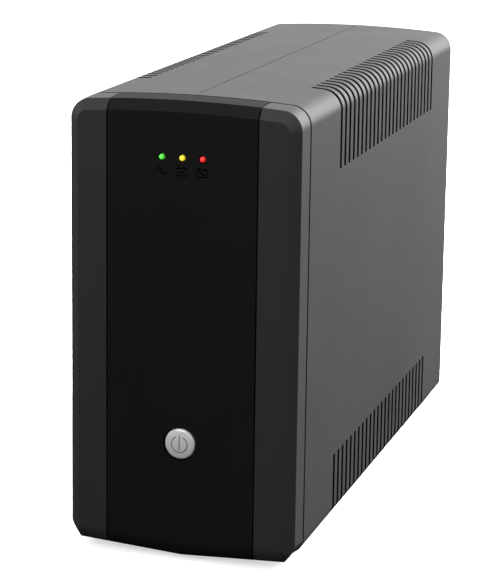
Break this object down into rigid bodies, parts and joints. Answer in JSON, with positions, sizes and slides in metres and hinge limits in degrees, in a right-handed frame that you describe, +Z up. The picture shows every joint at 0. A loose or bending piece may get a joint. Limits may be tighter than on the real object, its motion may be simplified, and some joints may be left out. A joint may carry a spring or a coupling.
{
  "type": "uninterruptible power supply",
  "caption": "Tower uninterruptible power supply: moulded case with side vents, chamfered front bezel with lamps and push button, rear outlets, inlet and fan.",
  "frame": {"origin": "on the floor, under the middle of the case: the centre of the bottom face of the bounding box", "axes": "+Z up, the front bezel faces -Y, the rear panel faces +Y, +X is to the right seen from the front"},
  "size_m": [0.115, 0.3128, 0.2268],
  "materials": {
    "case_plastic": "fine satin moulded texture, charcoal",
    "panel_plastic": "smooth satin black insert",
    "button_silver": "satin silver paint with an engraved power symbol",
    "lamp_green": "clear tinted lens, lit",
    "lamp_yellow": "clear tinted lens, lit",
    "lamp_red": "clear tinted lens, lit",
    "black_nylon": "matt black nylon",
    "black_steel": "black lacquered steel",
    "rubber": "soft black rubber",
    "zinc_steel": "zinc plated sheet steel",
    "circuit_board": "green solder mask",
    "battery_case": "dark grey battery jar",
    "brass": "tinned brass",
    "copper_winding": "enamelled copper under varnish",
    "aluminium": "extruded aluminium",
    "red_wire": "red insulation",
    "black_wire": "black insulation"
  },
  "bodies": {
    "case": {"left_case_shell": "case_plastic", "right_case_shell": "case_plastic", "front_bezel": "case_plastic", "rear_panel": "case_plastic", "front_panel": "panel_plastic", "lamp_green": "lamp_green", "lamp_yellow": "lamp_yellow", "lamp_red": "lamp_red", "battery_spacer": "black_nylon", "relay_1": "black_nylon", "relay_2": "black_nylon", "breaker_body": "black_nylon", "surge_jacks": "black_nylon", "fan_frame": "black_nylon", "inlet_housing": "black_nylon", "outlet_1_housing": "black_nylon", "outlet_1_core": "black_nylon", "outlet_2_housing": "black_nylon", "outlet_2_core": "black_nylon", "outlet_3_housing": "black_nylon", "outlet_3_core": "black_nylon", "outlet_4_housing": "black_nylon", "outlet_4_core": "black_nylon", "button_switch": "black_steel", "transformer_core": "black_steel", "capacitor": "black_steel", "case_screw_1": "black_steel", "case_screw_2": "black_steel", "case_screw_3": "black_steel", "case_screw_4": "black_steel", "foot_front_left": "rubber", "foot_front_right": "rubber", "foot_rear_left": "rubber", "foot_rear_right": "rubber", "base_tray": "zinc_steel", "battery_strap": "zinc_steel", "transformer_clamp": "zinc_steel", "breaker_nut": "zinc_steel", "usb_port": "zinc_steel", "fan_guard": "zinc_steel", "front_board": "circuit_board", "power_board": "circuit_board", "battery_lower": "battery_case", "battery_upper": "battery_case", "inlet_pin_line": "brass", "inlet_pin_neutral": "brass", "inlet_pin_earth": "brass", "terminal_lower_negative": "brass", "terminal_lower_positive": "brass", "terminal_upper_negative": "brass", "terminal_upper_positive": "brass", "transformer_winding": "copper_winding", "heat_sink": "aluminium", "battery_lead_positive": "red_wire", "battery_lead_negative": "black_wire", "battery_link": "black_wire"},
    "power_button": {"power_button": "button_silver", "switch_plunger": "black_nylon"},
    "breaker_button": {"breaker_button": "black_nylon"},
    "fan_rotor": {"fan_rotor": "black_nylon"}
  },
  "joints": [
    {"name": "power_button_press", "type": "slide", "parent": "case", "child": "power_button", "axis": [0, 1, 0], "range_m": [0, 0.0015], "stiffness_N_per_m": 400, "springref_m": -0.001},
    {"name": "breaker_button_trip", "type": "slide", "parent": "case", "child": "breaker_button", "axis": [0, 1, 0], "range_m": [0, 0.0035]},
    {"name": "fan_spin", "type": "hinge", "parent": "case", "child": "fan_rotor", "pos_m": [0, 0.1404, 0.184], "axis": [0, 1, 0], "continuous": true}
  ]
}
